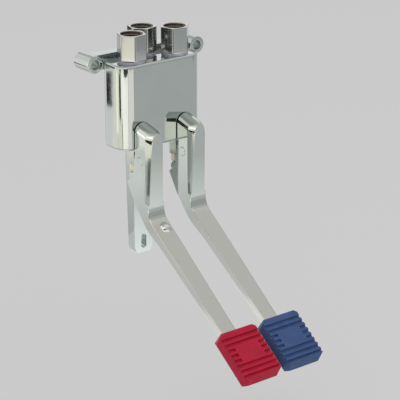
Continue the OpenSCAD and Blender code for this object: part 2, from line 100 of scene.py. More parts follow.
# The upright cards that polished metal reflects: name, azimuth in degrees, distance, width, lower
# and upper edge, brightness in red, green and blue, and a roll in degrees where there is one.
CARDS = (
    ("cream_rear", 147, 0.43, 0.30, -0.22, 0.4, (1.10, 1.06, 0.99)),
    ("cream_side", 191, 0.43, 0.36, -0.22, 0.4, (1.10, 1.07, 0.93)),
    ("cream_bright", 231, 0.43, 0.26, -0.22, 0.4, (1.55, 1.44, 1.33)),
    ("pale_rear", 112, 0.43, 0.28, -0.255, 0.4, (0.95, 0.93, 0.93)),
    ("grey_front", 274, 0.43, 0.37, -0.25, -0.121, (1.14, 1.09, 1.03)),
    ("grey_left", 285, 0.64, 0.34, -0.172, 0.15, (0.44, 0.48, 0.48)),
    ("grey_middle", 307, 0.60, 0.15, -0.150, 0.15, (0.44, 0.48, 0.48)),
    ("grey_right", 327, 0.645, 0.30, -0.172, 0.15, (0.36, 0.39, 0.39)),
    ("top_card", 53, 0.60, 0.40, 0.06, 0.35, (0.98, 0.98, 0.97)),
    ("corner_bright", 214, 0.42, 0.27, -0.215, -0.112, (1.55, 1.50, 1.40)),
    ("corner_yellow", 163, 0.42, 0.11, -0.186, -0.112, (1.55, 1.47, 1.20)),
    ("dark_stripe", 187, 0.39, 0.085, -0.156, -0.106, (0.02, 0.02, 0.02)),
    ("olive_stripe", 203, 0.38, 0.028, -0.205, -0.150, (0.16, 0.15, 0.10), -30.0),
    ("dark_patch", 125.9, 0.40, 0.063, -0.151, -0.111, (0.02, 0.02, 0.025)),
    ("union_flag", 233, 0.40, 0.245, -0.117, 0.1, (0.04, 0.05, 0.055)),
    ("rear_flag", 100, 0.42, 0.12, -0.115, 0.1, (0.06, 0.07, 0.075)),
    ("arch_card", 143, 0.42, 0.12, -0.05, 0.06, (1.75, 1.75, 1.82)),
    ("bevel_top", 191.6, 0.415, 0.08, 0.06, 0.17, (1.70, 1.70, 1.72)),
    ("edge_card", 182.0, 0.42, 0.060, 0.03, 0.16, (0.36, 0.39, 0.41)),
    ("bevel_spot", 192.5, 0.41, 0.11, -0.108, -0.035, (0.02, 0.02, 0.02)),
    ("low_flag", 186.7, 0.33, 0.012, -0.226, -0.182, (0.10, 0.12, 0.12)),
)
CARDS_MIDDLE_Y = -0.035


# Properties

def length(name, text, default):
    """A length in metres."""
    return bpy.props.FloatProperty(name=name, description=text, default=default, precision=5,
                                   subtype="DISTANCE", unit="LENGTH")


def turn(name, text, degrees):
    """An angle, written here in degrees."""
    return bpy.props.FloatProperty(name=name, description=text, default=math.radians(degrees),
                                   subtype="ANGLE", unit="ROTATION")


def colour(name, text, default):
    """A linear colour."""
    return bpy.props.FloatVectorProperty(name=name, description=text, default=default, size=3,
                                         min=0.0, max=1.0, subtype="COLOR")


def share(name, text, default):
    """A strength, where 1 is plain full strength."""
    return bpy.props.FloatProperty(name=name, description=text, default=default, min=0.0,
                                   subtype="FACTOR")


class ValveSizes(bpy.types.PropertyGroup):
    """Sizes of the softened edges and of the pipe threads, and the valves' travel."""
    cast_edge: length("Casting edge", "Rounding of the sharp edges of the cast body", 0.0007)
    head_edge: length("Lever head edge", "Rounding of the edges of the lever heads", 0.0004)
    bar_edge: length("Pedal bar edge", "Rounding of the long edges of the pedal bars", 0.0013)
    hex_edge: length("Hexagon edge", "Rounding of the upright edges of the hexagons", 0.0011)
    rim_edge: length("Union rim edge", "Rounding of the other edges of the unions", 0.00035)
    pad_edge: length("Tread edge", "Rounding of the edges of the rubber pads", 0.00055)
    thread_pitch: length("Thread pitch", "Pitch of the pipe thread in the unions", 0.001814)
    thread_root: length("Thread root radius", "Outer radius of the female pipe thread", 0.01032)
    thread_crest: length("Thread crest radius", "Inner radius of the female pipe thread", 0.00936)
    thread_start: length("Thread start", "Depth of the first full thread below the rim", 0.0022)
    thread_turns: bpy.props.IntProperty(name="Thread turns", default=6,
                                        description="Turns of the pipe thread")
    valve_lift: length("Valve lift", "Travel of a valve stem", 0.0062)
    bar_slope: turn("Bar slope", "Slope of the pedal bars below the level", 35.8)


class ValveFinishes(bpy.types.PropertyGroup):
    """Colours of the finishes."""
    # The green tint of the body and lever chrome and the beige tint of the satin chrome are painted
    # reflection of the room's colours; the plating itself is near grey.
    body_chrome: colour("Body chrome", "Reflected tint of the plated casting",
                        (0.53, 0.575, 0.555))
    union_chrome: colour("Union chrome", "Reflected tint of the plated unions", (0.58, 0.585, 0.57))
    lever_chrome: colour("Lever chrome", "Reflected tint of the plated levers and pivot pins",
                         (0.585, 0.635, 0.60))
    satin_chrome: colour("Satin chrome", "Reflected tint of the satin pedal bars",
                         (0.55, 0.55, 0.515))
    nut_chrome: colour("Nut chrome", "Reflected tint of the gland nuts and the domed screw",
                       (0.74, 0.76, 0.74))
    # The deep tone of the brass in the union bores is brass darkened as painted shade deep in the
    # bore; mouth_brass is its unshaded tone near the rims.
    bare_brass: colour("Bare brass", "Dulled brass deep inside the unions", (0.24, 0.17, 0.12))
    mouth_brass: colour("Mouth brass", "Brass near the rims of the unions", (0.42, 0.40, 0.38))
    turned_brass: colour("Turned brass", "Stems, seats and strainers", (0.80, 0.73, 0.58))
    spring_steel: colour("Spring steel", "Drawn steel of the return springs", (0.50, 0.50, 0.50))
    # The fibre's pale lilac is partly painted reflection, lightened to stand in for glossy
    # highlights on the washers.
    fibre: colour("Fibre", "Washers under the unions and gland nuts", (0.42, 0.41, 0.50))
    black_rubber: colour("Black rubber", "Seals and packings", (0.02, 0.02, 0.02))
    red_rubber: colour("Red rubber", "Hot tread pad", (0.425, 0.001, 0.027))
    blue_rubber: colour("Blue rubber", "Cold tread pad", (0.040, 0.083, 0.212))


class ValveStudio(bpy.types.PropertyGroup):
    """Light, backdrop and camera."""
    backdrop: colour("Backdrop", "Tone of the floor and of the space behind, as seen",
                     (0.597, 0.597, 0.597))
    floor: colour("Floor", "Tone of the floor under the light", (0.63, 0.63, 0.63))
    floor_seen: share("Floor as seen", "Share of the backdrop's tone in the floor", 0.8)
    fill: share("Fill", "Strength of the even light from all sides", 0.70)
    overhead: share("Overhead", "Brightness of the overhead softbox", 0.8)
    front: share("Front", "Brightness of the softbox in front", 0.8)
    floor_gap: length("Floor gap", "Room under the pads, so that a pressed pedal clears the floor",
                      0.047)
    pool_gap: length("Pool gap", "Distance from the lowest edge of the pads to the pools of light",
                     0.0016)
    aim: bpy.props.FloatVectorProperty(name="Aim", description="Point that the camera looks at",
                                       default=(-0.0021, -0.103, -0.1169), precision=4,
                                       subtype="TRANSLATION", unit="LENGTH")
    azimuth: turn("Camera azimuth", "Turn of the camera from straight in front", -38.0)
    elevation: turn("Camera elevation", "Rise of the camera above the level", 20.2)
    distance: length("Camera distance", "From the camera to the point it looks at", 1.484)
    focal_length: bpy.props.FloatProperty(name="Focal length", default=148.86, unit="CAMERA",
                                          description="Focal length on a sensor 36 mm wide")


def sizes():
    return bpy.context.scene.valve_sizes


def finishes():
    return bpy.context.scene.valve_finishes


def studio():
    return bpy.context.scene.valve_studio


# Shader building

def put(tree, kind, x, y, **settings):
    """A node of the given kind at x, y.

    Settings name its inputs by their labels, with _ for a space, or else its attributes.
    """
    node = tree.nodes.new(kind)
    node.location = (x, y)
    for key, value in settings.items():
        label = key.replace("_", " ")
        if label in node.inputs:
            node.inputs[label].default_value = value
        else:
            setattr(node, key, value)
    return node


def new_group(name, inputs, outputs):
    """An empty shader node group: Vector and the named numbers in, the named numbers out."""
    tree = bpy.data.node_groups.new(name, "ShaderNodeTree")
    socket = tree.interface.new_socket
    socket("Vector", in_out="INPUT", socket_type="NodeSocketVector")
    for label, value in inputs.items():
        socket(label, in_out="INPUT", socket_type="NodeSocketFloat").default_value = value
    for label in outputs:
        socket(label, in_out="OUTPUT", socket_type="NodeSocketFloat")
    return tree, put(tree, "NodeGroupInput", -1100, 0), put(tree, "NodeGroupOutput", 500, 0)


def built_once(build):
    """A shared effect, whose node group is built on first use and takes the function's name."""
    def fetch():
        name = build.__name__.replace("_", " ").capitalize()
        return bpy.data.node_groups.get(name) or build(name)
    return fetch


@built_once
def handling_marks(name):
    """Smudges and hairlines of handled metal: a roughness between Low and High."""
    tree, start, end = new_group(name, {"Scale": 60.0, "Low": 0.05, "High": 0.14}, ["Roughness"])
    link = tree.links.new
    cloud = put(tree, "ShaderNodeTexNoise", -650, 150, Detail=5.0, Roughness=0.6)
    stretch = put(tree, "ShaderNodeVectorMath", -850, -200, operation="MULTIPLY")
    stretch.inputs[1].default_value = (14.0, 14.0, 0.9)
    hair = put(tree, "ShaderNodeTexNoise", -650, -200, Detail=2.0, Roughness=0.5)
    mix = put(tree, "ShaderNodeMath", -400, 0, operation="MULTIPLY_ADD")
    mix.inputs[1].default_value = 0.25
    span = put(tree, "ShaderNodeMapRange", -150, 0, From_Min=0.38, From_Max=0.85)
    link(start.outputs["Vector"], cloud.inputs["Vector"])
    link(start.outputs["Scale"], cloud.inputs["Scale"])
    link(start.outputs["Vector"], stretch.inputs[0])
    link(stretch.outputs[0], hair.inputs["Vector"])
    link(start.outputs["Scale"], hair.inputs["Scale"])
    link(hair.outputs["Fac"], mix.inputs[0])
    link(cloud.outputs["Fac"], mix.inputs[2])
    link(mix.outputs[0], span.inputs["Value"])
    link(start.outputs["Low"], span.inputs["To Min"])
    link(start.outputs["High"], span.inputs["To Max"])
    link(span.outputs["Result"], end.inputs["Roughness"])
    return tree


@built_once
def cast_ripple(name):
    """Slow waves left in a polished casting, with a trace of finer peel."""
    tree, start, end = new_group(name, {"Scale": 45.0}, ["Height"])
    link = tree.links.new
    slow = put(tree, "ShaderNodeTexNoise", -600, 150, Detail=0.0)
    quick = put(tree, "ShaderNodeMath", -800, -150, operation="MULTIPLY")
    quick.inputs[1].default_value = 7.0
    fine = put(tree, "ShaderNodeTexNoise", -600, -150, Detail=1.0)
    mix = put(tree, "ShaderNodeMath", -300, 0, operation="MULTIPLY_ADD")
    mix.inputs[1].default_value = 0.03
    link(start.outputs["Vector"], slow.inputs["Vector"])
    link(start.outputs["Scale"], slow.inputs["Scale"])
    link(start.outputs["Scale"], quick.inputs[0])
    link(start.outputs["Vector"], fine.inputs["Vector"])
    link(quick.outputs[0], fine.inputs["Scale"])
    link(fine.outputs["Fac"], mix.inputs[0])
    link(slow.outputs["Fac"], mix.inputs[2])
    link(mix.outputs[0], end.inputs["Height"])
    return tree


@built_once
def mottle(name):
    """Uneven colour: the share of a second tone, patchy at Scale, and a fine Grain for bump."""
    tree, start, end = new_group(name, {"Scale": 80.0, "Grain Scale": 1500.0}, ["Share", "Grain"])
    link = tree.links.new
    patch = put(tree, "ShaderNodeTexNoise", -600, 150, Detail=4.0, Roughness=0.65)
    span = put(tree, "ShaderNodeMapRange", -300, 150, From_Min=0.35, From_Max=0.7)
    grain = put(tree, "ShaderNodeTexNoise", -600, -150, Detail=2.0)
    link(start.outputs["Vector"], patch.inputs["Vector"])
    link(start.outputs["Scale"], patch.inputs["Scale"])
    link(patch.outputs["Fac"], span.inputs["Value"])
    link(start.outputs["Vector"], grain.inputs["Vector"])
    link(start.outputs["Grain Scale"], grain.inputs["Scale"])
    link(span.outputs["Result"], end.inputs["Share"])
    link(grain.outputs["Fac"], end.inputs["Grain"])
    return tree


def place_group(tree, group, x, y, where, **values):
    """Places a shared effect in a material, with its own values."""
    node = put(tree, "ShaderNodeGroup", x, y)
    node.node_tree = group
    for key, value in values.items():
        node.inputs[key.replace("_", " ")].default_value = value
    tree.links.new(where, node.inputs["Vector"])
    return node


def new_material(name, metallic=0.0):
    """A material with its node tree, its shader and the piece's own coordinates."""
    material = bpy.data.materials.new(name)
    material.use_nodes = True
    tree = material.node_tree
    shader = tree.nodes["Principled BSDF"]
    shader.inputs["Metallic"].default_value = metallic
    return material, tree, shader, put(tree, "ShaderNodeTexCoord", -1200, 0).outputs["Object"]


def bump(tree, shader, height, strength, distance):
    node = put(tree, "ShaderNodeBump", -250, -350, Strength=strength, Distance=distance)
    tree.links.new(height, node.inputs["Height"])
    tree.links.new(node.outputs["Normal"], shader.inputs["Normal"])


def two_tones(tree, shader, factor, tone, other):
    mix = put(tree, "ShaderNodeMix", -250, 250, data_type="RGBA")
    mix.inputs[6].default_value = (*tone, 1.0)
    mix.inputs[7].default_value = (*other, 1.0)
    tree.links.new(factor, mix.inputs["Factor"])
    tree.links.new(mix.outputs[2], shader.inputs["Base Color"])


def shaded(tone, amount):
    return tuple(min(1.0, c * amount) for c in tone)


def chrome(name, tone, low=0.035, high=0.10, ripple=0.35):
    """Plated, polished casting."""
    material, tree, shader, where = new_material(name, metallic=1.0)
    marks = place_group(tree, handling_marks(), -600, 0, where, Scale=55.0, Low=low, High=high)
    waves = place_group(tree, cast_ripple(), -600, -350, where, Scale=38.0)
    tones = place_group(tree, mottle(), -600, 300, where, Scale=30.0)
    two_tones(tree, shader, tones.outputs["Share"], tone, shaded(tone, 0.95))
    tree.links.new(marks.outputs["Roughness"], shader.inputs["Roughness"])
    bump(tree, shader, waves.outputs["Height"], ripple, 0.0004)
    return material


def turned(name, tone, shade, low=0.22, high=0.42):
    """Machined metal with fine lines around Z."""
    material, tree, shader, where = new_material(name, metallic=1.0)
    marks = place_group(tree, handling_marks(), -600, 0, where, Scale=90.0, Low=low, High=high)
    tones = place_group(tree, mottle(), -600, 300, where, Scale=120.0)
    lines = put(tree, "ShaderNodeTexWave", -600, -350, bands_direction="Z", Scale=900.0,
                Distortion=0.6)
    tree.links.new(where, lines.inputs["Vector"])
    two_tones(tree, shader, tones.outputs["Share"], tone, shaded(tone, shade))
    tree.links.new(marks.outputs["Roughness"], shader.inputs["Roughness"])
    bump(tree, shader, lines.outputs["Fac"], 0.25, 0.00005)
    return material


def bore_brass(name, deep, mouth):
    """Brass inside a union, with painted shade: darker and browner down the bore, paler near the
    rim.
    """
    material, tree, shader, where = new_material(name, metallic=1.0)
    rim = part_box("hot_union")[1].z
    # Painted shade down the bore: the deep tone below the first height, the mouth tone above the
    # second.
    full_shade_height, pale = rim - 0.0065, rim - 0.0008
    link = tree.links.new
    marks = place_group(tree, handling_marks(), -600, 0, where, Scale=90.0, Low=0.25, High=0.45)
    tones = place_group(tree, mottle(), -900, 300, where, Scale=150.0)
    split = put(tree, "ShaderNodeSeparateXYZ", -900, 550)
    depth = put(tree, "ShaderNodeMapRange", -700, 550, From_Min=full_shade_height, From_Max=pale)
    patchy = put(tree, "ShaderNodeMath", -500, 400, operation="MULTIPLY_ADD", use_clamp=True)
    patchy.inputs[1].default_value = -0.3
    link(where, split.inputs[0])
    link(split.outputs["Z"], depth.inputs["Value"])
    link(tones.outputs["Share"], patchy.inputs[0])
    link(depth.outputs["Result"], patchy.inputs[2])
    two_tones(tree, shader, patchy.outputs[0], deep, mouth)
    link(marks.outputs["Roughness"], shader.inputs["Roughness"])
    bump(tree, shader, tones.outputs["Grain"], 0.2, 0.00005)
    return material


def moulded(name, tone, shade, low=0.42, high=0.62, shine=0.20):
    """Rubber or fibre: patchy tone and a fine grain."""
    material, tree, shader, where = new_material(name)
    shader.inputs["Specular IOR Level"].default_value = shine
    marks = place_group(tree, handling_marks(), -600, 0, where, Scale=120.0, Low=low, High=high)
    tones = place_group(tree, mottle(), -600, 300, where, Scale=90.0, Grain_Scale=1800.0)
    two_tones(tree, shader, tones.outputs["Share"], tone, shaded(tone, shade))
    tree.links.new(marks.outputs["Roughness"], shader.inputs["Roughness"])
    bump(tree, shader, tones.outputs["Grain"], 0.35, 0.00012)
    return material


def pedal_chrome(name, polished, satin):
    """Polished lever head that turns satin along the pedal bar, which is brushed lengthwise."""
    material, tree, shader, where = new_material(name, metallic=1.0)
    slope = sizes().bar_slope
    satin_start, satin_full = 0.131, 0.148
    link = tree.links.new

    # The share of satin, by the distance along the bar.
    along = put(tree, "ShaderNodeVectorMath", -950, 500, operation="DOT_PRODUCT")
    along.inputs[1].default_value = (0.0, -math.cos(slope), -math.sin(slope))
    satin_mask = put(tree, "ShaderNodeMapRange", -750, 500, interpolation_type="SMOOTHSTEP",
                     From_Min=satin_start, From_Max=satin_full)
    link(where, along.inputs[0])
    link(along.outputs["Value"], satin_mask.inputs["Value"])
    mask = satin_mask.outputs["Result"]

    # Colour and roughness.
    tones = place_group(tree, mottle(), -750, 250, where, Scale=45.0)
    patchy = put(tree, "ShaderNodeMath", -500, 350, operation="MULTIPLY_ADD", use_clamp=True)
    patchy.inputs[1].default_value = 0.25
    link(tones.outputs["Share"], patchy.inputs[0])
    link(mask, patchy.inputs[2])
    two_tones(tree, shader, patchy.outputs[0], polished, satin)
    polish = place_group(tree, handling_marks(), -750, 0, where, Scale=55.0, Low=0.035, High=0.09)
    lines = place_group(tree, handling_marks(), -750, -200, where, Scale=90.0, Low=0.16, High=0.30)
    rough = put(tree, "ShaderNodeMix", -450, -50)
    link(mask, rough.inputs["Factor"])
    link(polish.outputs["Roughness"], rough.inputs["A"])
    link(lines.outputs["Roughness"], rough.inputs["B"])
    link(rough.outputs["Result"], shader.inputs["Roughness"])

    # Brush lines along the bar, over the slow waves of the casting.
    lay = put(tree, "ShaderNodeMapping", -950, -600, vector_type="TEXTURE",
              Rotation=(slope, 0.0, 0.0))
    stretch = put(tree, "ShaderNodeVectorMath", -750, -600, operation="MULTIPLY")
    stretch.inputs[1].default_value = (1.0, 0.03, 1.0)
    brush = put(tree, "ShaderNodeTexNoise", -550, -600, Scale=2600.0, Detail=2.0)
    brushed = put(tree, "ShaderNodeMath", -350, -600, operation="MULTIPLY")
    waves = place_group(tree, cast_ripple(), -550, -400, where, Scale=38.0)
    height = put(tree, "ShaderNodeMath", -300, -450, operation="MULTIPLY_ADD")
    height.inputs[1].default_value = 0.12
    link(where, lay.inputs["Vector"])
    link(lay.outputs["Vector"], stretch.inputs[0])
    link(stretch.outputs[0], brush.inputs["Vector"])
    link(brush.outputs["Fac"], brushed.inputs[0])
    link(mask, brushed.inputs[1])
    link(brushed.outputs[0], height.inputs[0])
    link(waves.outputs["Height"], height.inputs[2])
    bump(tree, shader, height.outputs[0], 0.35, 0.0004)
    return material


FINISHES = {
    "body_chrome": lambda name, f: chrome(name, f.body_chrome),
    "union_chrome": lambda name, f: chrome(name, f.union_chrome, low=0.04, high=0.12, ripple=0.2),
    "nut_chrome": lambda name, f: chrome(name, f.nut_chrome, low=0.12, high=0.26, ripple=0.2),
    "pin_steel": lambda name, f: chrome(name, f.lever_chrome, low=0.06, high=0.14, ripple=0.1),
    "lever_chrome": lambda name, f: pedal_chrome(name, f.lever_chrome, f.satin_chrome),
    # Brass of the union bores and threads, with painted shade deep in the bore.
    "bare_brass": lambda name, f: bore_brass(name, f.bare_brass, f.mouth_brass),
    "brass": lambda name, f: turned(name, f.turned_brass, 0.72),
    "spring_steel": lambda name, f: turned(name, f.spring_steel, 0.8, low=0.15, high=0.3),
    "fibre": lambda name, f: moulded(name, f.fibre, 0.75, low=0.2, high=0.35, shine=0.6),
    "black_rubber": lambda name, f: moulded(name, f.black_rubber, 1.8),
    "red_rubber": lambda name, f: moulded(name, f.red_rubber, 0.8),
    "blue_rubber": lambda name, f: moulded(name, f.blue_rubber, 0.8),
}


def finish(key):
    """The material of a finish, made on first use."""
    name = "valve_" + key
    return bpy.data.materials.get(name) or FINISHES[key](name, finishes())


# Shaping

def pick(obj):
    """Selects only obj, in object mode."""
    if bpy.context.object and bpy.context.object.mode != "OBJECT":
        bpy.ops.object.mode_set(mode="OBJECT")
    bpy.ops.object.select_all(action="DESELECT")
    obj.select_set(True)
    bpy.context.view_layer.objects.active = obj


def solid_copy(node, name):
    """A merged copy of a CAD node's solid, free to be dressed."""
    pick(NODES[node])
    bpy.ops.object.duplicate()
    piece = bpy.context.object
    bpy.ops.object.parent_clear(type="CLEAR_KEEP_TRANSFORM")
    piece.name = piece.data.name = name
    del piece["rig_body"], piece["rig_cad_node"]
    bpy.ops.object.mode_set(mode="EDIT")
    bpy.ops.mesh.select_all(action="SELECT")
    bpy.ops.mesh.remove_doubles(threshold=MERGE)
    bpy.ops.mesh.customdata_custom_splitnormals_clear()
    bpy.ops.mesh.dissolve_limited(angle_limit=FLAT)
    bpy.ops.object.mode_set(mode="OBJECT")
    return piece


def apply_modifier(piece, kind, **settings):
    pick(piece)
    modifier = piece.modifiers.new(kind.title(), kind)
    for key, value in settings.items():
        setattr(modifier, key, value)
    bpy.ops.object.modifier_apply(modifier=modifier.name)


def settle(piece, smooth=35.0):
    """Smooth shading that keeps the edges that bend by more than smooth degrees."""
    pick(piece)
    bpy.ops.object.shade_smooth_by_angle(angle=math.radians(smooth))


def edge_bends(mesh):
    """The angle in degrees between the two faces of each edge, by edge index."""
    faces = {}
    for polygon in mesh.polygons:
        for key in polygon.edge_keys:
            faces.setdefault(key, []).append(polygon.normal)
    pairs = (faces.get(edge.key, ()) for edge in mesh.edges)
    return [math.degrees(pair[0].angle(pair[1], 0.0)) if len(pair) == 2 else 0.0 for pair in pairs]


def soften(piece, width, weight, segments=2):
    """Rounds the edges of a piece, each by its share of width, inside the box it had.

    weight(middle, bend, span) gives the share, from an edge's middle, the angle in degrees
    between its two faces, and its length.
    """
    mesh = piece.data
    low = [min(v.co[i] for v in mesh.vertices) for i in range(3)]
    high = [max(v.co[i] for v in mesh.vertices) for i in range(3)]
    bends = edge_bends(mesh)
    layer = mesh.attributes.new("bevel_weight_edge", "FLOAT", "EDGE")
    for edge, bend in zip(mesh.edges, bends):
        a, b = (mesh.vertices[i].co for i in edge.vertices)
        layer.data[edge.index].value = weight((a + b) / 2, bend, (a - b).length)
    apply_modifier(piece, "BEVEL", width=width, segments=segments, limit_method="WEIGHT",
                   use_clamp_overlap=False, miter_outer="MITER_ARC", offset_type="OFFSET")
    for vertex in piece.data.vertices:
        vertex.co = [min(max(c, a), b) for c, a, b in zip(vertex.co, low, high)]
    settle(piece)
    apply_modifier(piece, "WEIGHTED_NORMAL", mode="FACE_AREA_WITH_ANGLE", weight=50,
                   keep_sharp=True)


def paint(obj, key):
    """Gives an object one finish."""
    obj.data.materials.clear()
    obj.data.materials.append(finish(key))


def coat(node, key):
    """Gives a CAD node its finish."""
    paint(NODES[node], key)


def dress(piece, key, body, slot, *nodes):
    """Gives a piece its finish and its body, and hides the nodes it stands for."""
    paint(piece, key)
    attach(piece, body)
    if nodes:
        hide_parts(*nodes)


class VALVE_OT_cast_body(bpy.types.Operator):
    """Cast body with its ears, arms and tongue, and the two pivot lugs"""
    bl_idname = "valve.cast_body"
    bl_label = "Cast body"

    def execute(self, context):
        piece = solid_copy("valve_body", "cast_body")
        low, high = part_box("valve_body")
        sharp, facet, near = 28, 0.0006, 0.0001
        wall_rim = -0.0006
        ear_middle, ear_inside, ear_front = high.x - 0.008, 0.046, -0.0225
        hole_radius = 0.0043
        tongue_top, tongue_front = -0.081, -0.0137
        slot_half, slot_low, slot_high = 0.0029, low.z + 0.0045, low.z + 0.019

        def in_hole(p):
            """True inside the ear holes and the slot of the tongue."""
            if math.hypot(abs(p.x) - ear_middle, p.z) < hole_radius:
                return True
            return abs(p.x) < slot_half and slot_low < p.z < slot_high and p.y > tongue_front

        def weight(p, bend, span):
            """The front edges of the ears, and the tongue's edges but for short facets."""
            if bend < sharp or p.y > wall_rim:
                return 0.0
            on_ear = abs(p.y - ear_front) < near and abs(p.x) > ear_inside
            on_tongue = p.z < tongue_top and (span > facet or in_hole(p))
            return 1.0 if on_ear or on_tongue else 0.0

        soften(piece, sizes().cast_edge, weight)
        dress(piece, "body_chrome", "base", "body_chrome", "valve_body")
        for side in SIDES:
            coat(side + "_pivot_lug", "body_chrome")
        return {"FINISHED"}


class VALVE_OT_unions(bpy.types.Operator):
    """Hexagon unions with their pipe threads, and the washers under them"""
    bl_idname = "valve.unions"
    bl_label = "Unions"

    def execute(self, context):
        for name in ("hot", "cold", "outlet"):
            self.union(name)
        coat("union_washers", "fibre")
        coat("inlet_strainers", "brass")
        return {"FINISHED"}

    def union(self, name):
        """A union whose bore is widened to the root of its thread."""
        size = sizes()
        node = name + "_union"
        low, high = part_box(node)
        middle, rim = (low + high) / 2, high.z
        mouth_depth, tapped_depth, near = 0.01, 0.0155, 0.0002
        sharp, upright, bore_edge, foot = 20, 0.01, 0.0095, 0.001
        brass_reach, brass_top = size.thread_root + 0.0003, rim - 0.00015
        piece = solid_copy(node, name + "_hex_union")

        def reach(p):
            return math.hypot(p.x - middle.x, p.y - middle.y)

        bore = min(reach(v.co) for v in piece.data.vertices if v.co.z > rim - mouth_depth)
        pick(piece)
        bpy.ops.object.mode_set(mode="EDIT")
        bpy.ops.mesh.select_all(action="DESELECT")
        bpy.ops.object.mode_set(mode="OBJECT")
        for v in piece.data.vertices:
            v.select = v.co.z > rim - tapped_depth and abs(reach(v.co) - bore) < near
        bpy.ops.object.mode_set(mode="EDIT")
        grow = size.thread_root / bore
        bpy.ops.transform.resize(value=(grow, grow, 1.0),
                                 center_override=(middle.x, middle.y, rim))
        bpy.ops.object.mode_set(mode="OBJECT")

        def weight(p, bend, span):
            """The long upright edges are rounder than the rims, and the bore stays sharp."""
            if bend < sharp or reach(p) < bore_edge or p.z < foot:
                return 0.0
            return 1.0 if span > upright else size.rim_edge / size.hex_edge

        soften(piece, size.hex_edge, weight, segments=3)
        dress(piece, "union_chrome", "base", "union_chrome", node)
        # The bore and its chamfer take the brass with painted shade.
        piece.data.materials.append(finish("bare_brass"))
        for polygon in piece.data.polygons:
            if reach(polygon.center) < brass_reach and polygon.center.z < brass_top:
                polygon.material_index = 1
        self.thread(name, middle, rim)

    def thread(self, name, middle, rim):
        """A closed ridge of thread, wound up through the bore."""
        size = sizes()
        sunk, steps = 0.0002, 56
        foot, crest = size.thread_root + sunk, size.thread_crest
        foot_half, crest_half = 0.48 * size.thread_pitch, 0.08 * size.thread_pitch
        profile = [(foot, -foot_half), (crest, -crest_half), (crest, crest_half),
                   (foot, foot_half)]
        start = rim - size.thread_start - size.thread_turns * size.thread_pitch
        bpy.ops.object.select_all(action="DESELECT")
        bpy.ops.mesh.primitive_plane_add(size=0.001)
        piece = bpy.context.object
        piece.name = piece.data.name = name + "_thread"
        for index, (r, z) in zip(list(piece.data.polygons[0].vertices), profile):
            piece.data.vertices[index].co = (r, 0.0, z)
        bpy.ops.object.mode_set(mode="EDIT")
        bpy.ops.mesh.select_all(action="SELECT")
        bpy.ops.mesh.delete(type="ONLY_FACE")
        bpy.ops.object.mode_set(mode="OBJECT")
        apply_modifier(piece, "SCREW", axis="Z", steps=steps, render_steps=steps,
                       iterations=size.thread_turns, screw_offset=size.thread_pitch,
                       use_merge_vertices=False)
        pick(piece)
        bpy.ops.transform.translate(value=(middle.x, middle.y, start))
        bpy.ops.object.transform_apply(location=True, rotation=True, scale=True)
        bpy.ops.object.mode_set(mode="EDIT")
        bpy.ops.mesh.select_all(action="DESELECT")
        bpy.ops.mesh.select_non_manifold(extend=False, use_wire=False, use_boundary=True,
                                         use_multi_face=False, use_non_contiguous=False,
                                         use_verts=False)
        bpy.ops.mesh.fill_holes(sides=4)
        bpy.ops.mesh.select_all(action="SELECT")
        bpy.ops.mesh.normals_make_consistent(inside=False)
        bpy.ops.object.mode_set(mode="OBJECT")
        settle(piece, 30.0)
        # The thread takes the same brass with painted shade deep in the bore.
        dress(piece, "bare_brass", "base", "brass")


class VALVE_OT_pedal_levers(bpy.types.Operator):
    """Cranked levers, their pivot pins and the domed screw"""
    bl_idname = "valve.pedal_levers"
    bl_label = "Pedal levers"

    def execute(self, context):
        size = sizes()
        head = size.head_edge / size.bar_edge
        sharp, head_front, pad_start = 16, -0.0655, -0.172
        crank, crank_run = -0.128, 0.017
        low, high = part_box("hot_lever_screw")
        screw, screw_reach = (low + high) / 2, 0.004

        def weight(p, bend, span):
            """Crisp edges on the head, which grow rounder below the crank and end at the pad."""
            if bend < sharp or p.y < pad_start or (p - screw).length < screw_reach:
                return 0.0
            if p.y > head_front:
                return head
            return min(1.0, max(head, head + (1.0 - head) * (crank - p.z) / crank_run))

        for side in SIDES:
            piece = solid_copy(side + "_lever", side + "_pedal_lever")
            soften(piece, size.bar_edge, weight, segments=3)
            dress(piece, "lever_chrome", side + "_pedal", "lever_chrome", side + "_lever")
            coat(side + "_pivot_pin", "pin_steel")
        coat("hot_lever_screw", "nut_chrome")
        return {"FINISHED"}


class VALVE_OT_tread_pads(bpy.types.Operator):
    """Rubber tread pads, red for hot and blue for cold"""
    bl_idname = "valve.tread_pads"
    bl_label = "Tread pads"

    def execute(self, context):
        sharp = 15
        for side, rubber in zip(SIDES, ("red_rubber", "blue_rubber")):
            piece = solid_copy(side + "_pad", side + "_tread_pad")
            soften(piece, sizes().pad_edge, lambda p, bend, span: 1.0 if bend > sharp else 0.0)
            dress(piece, rubber, side + "_pedal", rubber, side + "_pad")
        return {"FINISHED"}


class VALVE_OT_cartridges(bpy.types.Operator):
    """Gland nuts, stems, seats, seals and return springs"""
    bl_idname = "valve.cartridges"
    bl_label = "Valve cartridges"

    def execute(self, context):
        for side in SIDES:
            coat(side + "_gland_nut", "nut_chrome")
            coat(side + "_valve_stem", "brass")
            coat(side + "_valve_seat", "brass")
            coat(side + "_seat_washer", "black_rubber")
            self.spring(side)
        coat("stem_packings", "black_rubber")
        coat("gland_washers", "fibre")
        return {"FINISHED"}

    def spring(self, side):
        """A return spring, copied with a mesh of its own; on the real valve it shortens towards its
        upper end as the stem rises.
        """
        node = side + "_return_spring"
        piece = solid_copy(node, side + "_coil_spring")
        settle(piece, 60.0)
        dress(piece, "spring_steel", "base", "spring_steel", node)
        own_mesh(piece)


